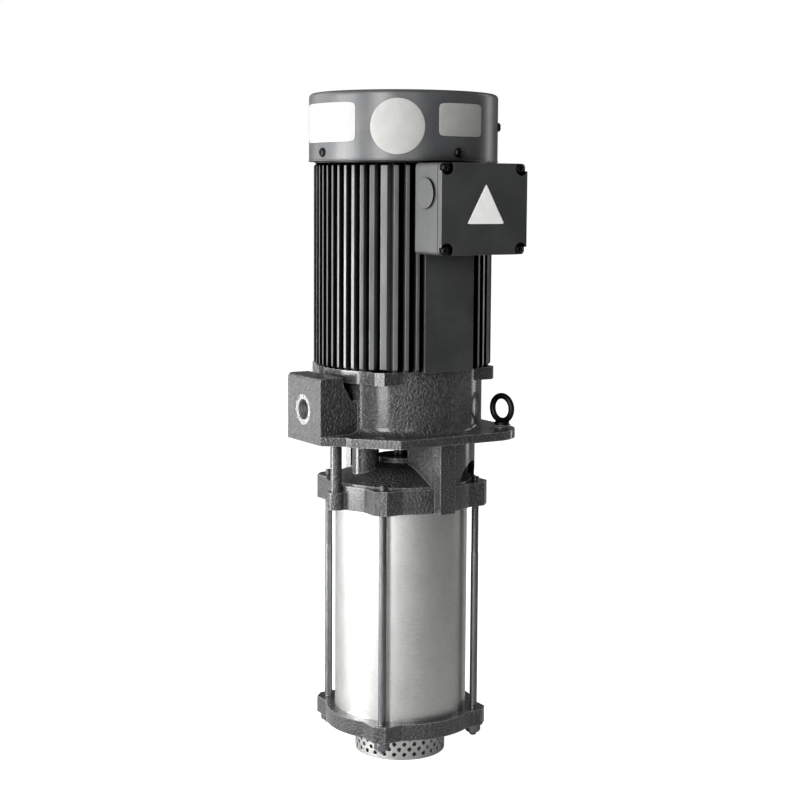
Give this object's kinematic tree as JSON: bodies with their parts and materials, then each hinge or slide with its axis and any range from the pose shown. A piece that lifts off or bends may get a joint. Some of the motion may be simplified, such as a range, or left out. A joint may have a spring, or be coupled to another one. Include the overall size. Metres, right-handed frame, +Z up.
{
  "type": "vertical multistage immersion coolant pump",
  "caption": "Vertical immersion coolant pump: finned motor with side terminal box over a cast bracket with square flange, side port and tie-rodded stage tube",
  "frame": {"origin": "on the shaft axis at the underside of the mounting flange", "axes": "+Z up along the shaft towards the fan, -Y towards the terminal box, -X towards the discharge port"},
  "size_m": [0.2196, 0.2516, 0.694],
  "materials": {
    "cast_iron_grey": "matte grey paint on grey iron",
    "frame_paint": "satin dark grey paint",
    "cover_paint": "satin mid grey paint",
    "laminations": "stacked electrical sheet",
    "copper_wire": "varnished copper",
    "cast_aluminium": "as cast",
    "ground_steel": "ground",
    "spring_steel": "oiled",
    "zinc_steel": "zinc plated",
    "black_plastic": "matte",
    "rubber_black": "matte",
    "brass": "satin",
    "bronze": "as cast",
    "black_steel": "blackened",
    "stainless": "rolled",
    "carbon": "lapped",
    "bearing_steel": "ground"
  },
  "bodies": {
    "housing": {"bracket": "cast_iron_grey", "motor_frame": "frame_paint", "stator_core": "laminations", "stator_windings": "copper_wire", "lower_bearing_outer": "bearing_steel", "lower_bearing_circlip": "spring_steel", "upper_bearing_outer": "bearing_steel", "preload_ring": "spring_steel", "upper_end_shield": "frame_paint", "motor_through_bolts": "zinc_steel", "fan_cover": "cover_paint", "fan_cover_screws": "black_steel", "terminal_box": "frame_paint", "terminal_box_gasket": "rubber_black", "terminal_box_cover": "frame_paint", "terminal_cover_screws": "black_steel", "terminal_box_screws": "zinc_steel", "terminal_board": "black_plastic", "terminal_studs": "brass", "eyebolts": "black_steel", "return_pipe": "cast_iron_grey", "seal_seat": "ground_steel", "stage_casing_1": "cast_aluminium", "stage_casing_2": "cast_aluminium", "stage_casing_3": "cast_aluminium", "stage_casing_4": "cast_aluminium", "stage_casing_5": "cast_aluminium", "stage_casing_6": "cast_aluminium", "wear_rings": "bronze", "stack_clamp_ring": "stainless", "outer_tube": "stainless", "tube_gaskets": "rubber_black", "tie_rods": "zinc_steel", "tie_rod_washers": "zinc_steel", "tie_rod_nuts": "zinc_steel", "suction_casting": "cast_iron_grey", "shaft_bushing": "carbon", "strainer": "stainless"},
    "rotor": {"rotor_core": "laminations", "rotor_end_rings": "cast_aluminium", "motor_shaft": "ground_steel", "lower_bearing_inner": "bearing_steel", "upper_bearing_inner": "bearing_steel", "cooling_fan": "black_plastic", "fan_clip": "spring_steel", "shaft_coupling": "ground_steel", "coupling_screws": "black_steel", "seal_ring": "carbon", "seal_bellows": "rubber_black", "pump_shaft": "ground_steel", "impeller_nut": "stainless", "impeller_spacers": "stainless", "impeller_1": "bronze", "impeller_2": "bronze", "impeller_3": "bronze", "impeller_4": "bronze", "impeller_5": "bronze", "impeller_6": "bronze"},
    "lower_balls": {"lower_bearing_balls": "bearing_steel"},
    "upper_balls": {"upper_bearing_balls": "bearing_steel"}
  },
  "joints": [
    {"name": "rotor_spin", "type": "hinge", "parent": "housing", "child": "rotor", "pos_m": [0, 0, 0.0595], "axis": [0, 0, 1], "continuous": true},
    {"name": "lower_cage_spin", "type": "hinge", "parent": "housing", "child": "lower_balls", "pos_m": [0, 0, 0.0595], "axis": [0, 0, 1], "continuous": true},
    {"name": "upper_cage_spin", "type": "hinge", "parent": "housing", "child": "upper_balls", "pos_m": [0, 0, 0.27], "axis": [0, 0, 1], "continuous": true}
  ],
  "couplings": [
    {"joint": "lower_cage_spin", "follows": "rotor_spin", "ratio": 0.368},
    {"joint": "upper_cage_spin", "follows": "rotor_spin", "ratio": 0.381}
  ]
}
